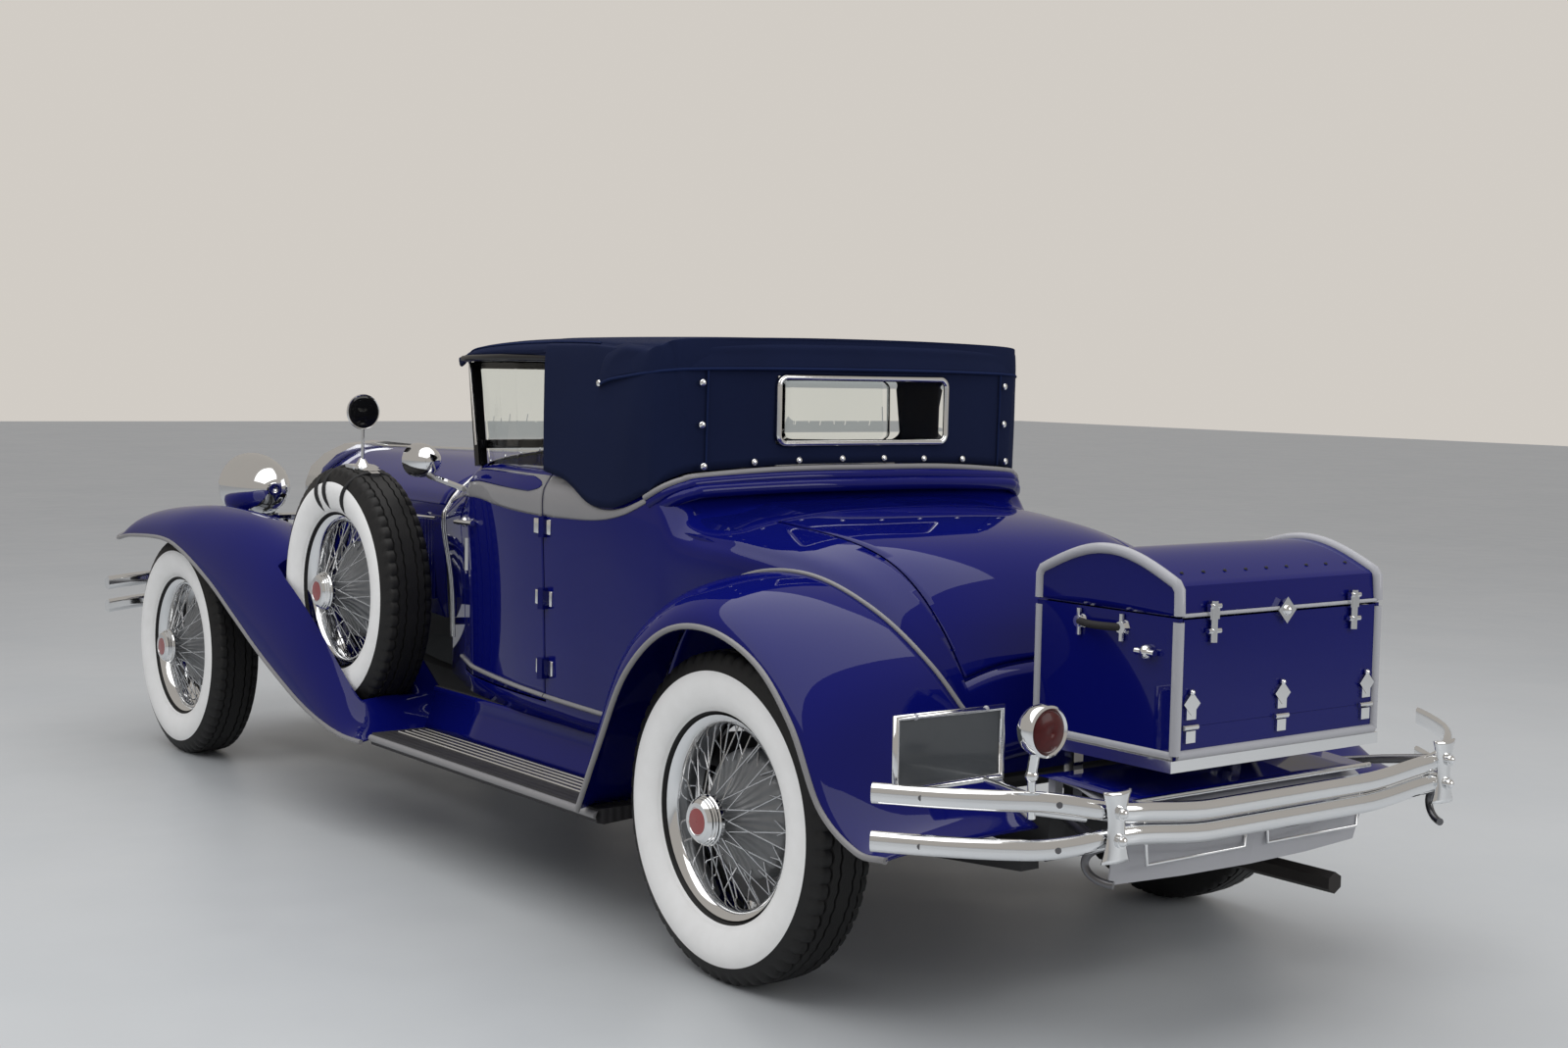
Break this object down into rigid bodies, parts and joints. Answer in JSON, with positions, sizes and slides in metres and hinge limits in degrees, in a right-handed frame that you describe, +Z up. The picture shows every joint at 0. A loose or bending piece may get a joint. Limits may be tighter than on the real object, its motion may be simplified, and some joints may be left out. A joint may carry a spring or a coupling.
{
  "type": "vintage convertible",
  "caption": "Long-nosed vintage front-wheel-drive convertible with closed canvas top, wire wheels, side-mounted spares, rumble lid and rear trunk.",
  "frame": {"origin": "on the floor under the middle of the car's box", "axes": "+Z up, -Y towards the nose, +X towards the car's left side"},
  "size_m": [1.8776, 5.308, 1.572],
  "materials": {
    "body_paint": "gloss",
    "chrome": "mirror polish",
    "apron_silver": "polished",
    "board": "ribbed",
    "canvas": "woven",
    "frame_black": "satin",
    "iron": "painted",
    "glass": "clear",
    "seat_leather": "satin",
    "dash_wood": "satin",
    "lamp_red": "clear",
    "tyre": "matt",
    "wheel_steel": "satin"
  },
  "bodies": {
    "body": {"body_tub": "body_paint", "fender_front_left": "body_paint", "fender_front_right": "body_paint", "fender_rear_left": "body_paint", "fender_rear_right": "body_paint", "front_apron": "body_paint", "trunk_body": "body_paint", "radiator_shell": "chrome", "bumper_front": "chrome", "bumper_rear": "chrome", "headlamps": "chrome", "cowl_lamps": "chrome", "trunk_rack": "chrome", "bonnet_hinge": "chrome", "rear_window": "chrome", "mirror_left": "chrome", "mirror_right": "chrome", "tank_cover": "apron_silver", "running_board_left": "board", "running_board_right": "board", "soft_top": "canvas", "chassis_frame": "frame_black", "front_axle": "frame_black", "rear_axle": "frame_black", "windshield_frame": "frame_black", "exhaust_pipe": "frame_black", "number_plate": "frame_black", "engine": "iron", "windshield_glass": "glass", "seat": "seat_leather", "dashboard": "dash_wood", "tail_lamp": "lamp_red", "tyre_spare_left": "tyre", "tyre_spare_right": "tyre", "wheel_spare_left": "wheel_steel", "wheel_spare_right": "wheel_steel"},
    "front_wheel_left": {"tyre_front_left": "tyre", "wheel_front_left": "wheel_steel"},
    "front_wheel_right": {"tyre_front_right": "tyre", "wheel_front_right": "wheel_steel"},
    "rear_wheel_left": {"tyre_rear_left": "tyre", "wheel_rear_left": "wheel_steel"},
    "rear_wheel_right": {"tyre_rear_right": "tyre", "wheel_rear_right": "wheel_steel"},
    "knuckle_left": {"knuckle_left": "frame_black"},
    "knuckle_right": {"knuckle_right": "frame_black"},
    "tie_rod": {"tie_rod": "frame_black"},
    "steering_wheel": {"steering_wheel": "frame_black"},
    "door_left": {"door_left": "body_paint", "door_glass_left": "glass"},
    "door_right": {"door_right": "body_paint", "door_glass_right": "glass"},
    "rumble_lid": {"rumble_lid": "body_paint"},
    "trunk_lid": {"trunk_lid": "body_paint"},
    "trunk_drop_panel": {"trunk_drop_panel": "body_paint"},
    "bonnet_top_left": {"bonnet_top_left": "body_paint"},
    "bonnet_top_right": {"bonnet_top_right": "body_paint"},
    "bonnet_side_left": {"bonnet_side_left": "body_paint"},
    "bonnet_side_right": {"bonnet_side_right": "body_paint"}
  },
  "joints": [
    {"name": "steer_left", "type": "hinge", "parent": "body", "child": "knuckle_left", "pos_m": [0.635, -1.8845, 0.402], "axis": [0, 0, 1], "range_deg": [-30, 30]},
    {"name": "steer_right", "type": "hinge", "parent": "body", "child": "knuckle_right", "pos_m": [-0.635, -1.8845, 0.402], "axis": [0, 0, 1], "range_deg": [-30, 30]},
    {"name": "tie_rod_pivot", "type": "hinge", "parent": "knuckle_left", "child": "tie_rod", "pos_m": [0.635, -2.0445, 0.4143], "axis": [0, 0, 1], "range_deg": [-30, 30]},
    {"name": "steering_wheel_turn", "type": "hinge", "parent": "body", "child": "steering_wheel", "pos_m": [0.33, 0.308, 1], "axis": [0, 0.8191, 0.5736], "range_deg": [-390, 390]},
    {"name": "spin_front_left", "type": "hinge", "parent": "knuckle_left", "child": "front_wheel_left", "pos_m": [0.745, -1.8845, 0.402], "axis": [1, 0, 0], "continuous": true},
    {"name": "spin_front_right", "type": "hinge", "parent": "knuckle_right", "child": "front_wheel_right", "pos_m": [-0.745, -1.8845, 0.402], "axis": [1, 0, 0], "continuous": true},
    {"name": "spin_rear_left", "type": "hinge", "parent": "body", "child": "rear_wheel_left", "pos_m": [0.754, 1.608, 0.402], "axis": [1, 0, 0], "continuous": true},
    {"name": "spin_rear_right", "type": "hinge", "parent": "body", "child": "rear_wheel_right", "pos_m": [-0.754, 1.608, 0.402], "axis": [1, 0, 0], "continuous": true},
    {"name": "door_left_hinge", "type": "hinge", "parent": "body", "child": "door_left", "pos_m": [0.668, 0.498, 0.8], "axis": [0, 0, 1], "range_deg": [0, 65]},
    {"name": "door_right_hinge", "type": "hinge", "parent": "body", "child": "door_right", "pos_m": [-0.668, 0.498, 0.8], "axis": [0, 0, -1], "range_deg": [0, 65]},
    {"name": "rumble_lid_hinge", "type": "hinge", "parent": "body", "child": "rumble_lid", "pos_m": [0, 1.983, 0.79], "axis": [-1, 0, 0], "range_deg": [0, 60]},
    {"name": "trunk_lid_hinge", "type": "hinge", "parent": "body", "child": "trunk_lid", "pos_m": [0, 2.168, 0.9606], "axis": [1, 0, 0], "range_deg": [0, 70]},
    {"name": "trunk_drop_hinge", "type": "hinge", "parent": "body", "child": "trunk_drop_panel", "pos_m": [0, 2.598, 0.7246], "axis": [-1, 0, 0], "range_deg": [0, 95]},
    {"name": "bonnet_left_hinge", "type": "hinge", "parent": "body", "child": "bonnet_top_left", "pos_m": [0, -1.836, 1.1401], "axis": [0, -0.9997, -0.023], "range_deg": [0, 65]},
    {"name": "bonnet_right_hinge", "type": "hinge", "parent": "body", "child": "bonnet_top_right", "pos_m": [0, -1.836, 1.1401], "axis": [0, 0.9997, 0.023], "range_deg": [0, 65]},
    {"name": "bonnet_side_left_hinge", "type": "hinge", "parent": "bonnet_top_left", "child": "bonnet_side_left", "pos_m": [0.262, -1.836, 0.9844], "axis": [0.145, 0.9893, 0.0179], "range_deg": [0, 39]},
    {"name": "bonnet_side_right_hinge", "type": "hinge", "parent": "bonnet_top_right", "child": "bonnet_side_right", "pos_m": [-0.262, -1.836, 0.9844], "axis": [0.145, -0.9893, -0.0179], "range_deg": [0, 39]}
  ],
  "couplings": [
    {"joint": "steer_right", "follows": "steer_left", "ratio": 1},
    {"joint": "tie_rod_pivot", "follows": "steer_left", "ratio": -1},
    {"joint": "bonnet_side_left_hinge", "follows": "bonnet_left_hinge", "ratio": 0.6},
    {"joint": "bonnet_side_right_hinge", "follows": "bonnet_right_hinge", "ratio": 0.6},
    {"joint": "steering_wheel_turn", "follows": "steer_left", "ratio": 13}
  ]
}
